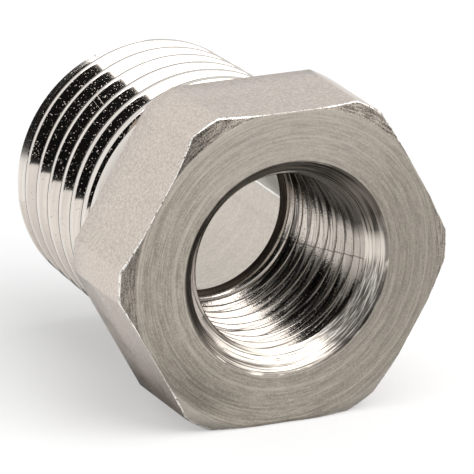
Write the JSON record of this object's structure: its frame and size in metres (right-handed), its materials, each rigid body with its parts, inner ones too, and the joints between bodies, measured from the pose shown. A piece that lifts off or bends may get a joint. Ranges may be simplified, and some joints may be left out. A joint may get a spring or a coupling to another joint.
{
  "type": "pipe bushing",
  "caption": "Hexagon reducing bushing: a tapered threaded spigot below a hexagon head with a smaller threaded port through it.",
  "frame": {"origin": "the middle of the box's bottom: on the flat that the bushing lies on, below the middle of its length", "axes": "-Y out of the threaded port, +Y out of the spigot's small end, +Z square to the flat it lies on, +X through a corner of the hexagon"},
  "size_m": [0.0174, 0.0176, 0.0159],
  "materials": {
    "plated_metal": "bright nickel plating over turned brass, satin on the hexagon and polished on the threads"
  },
  "bodies": {
    "root": {"bushing": "plated_metal"}
  },
  "joints": []
}
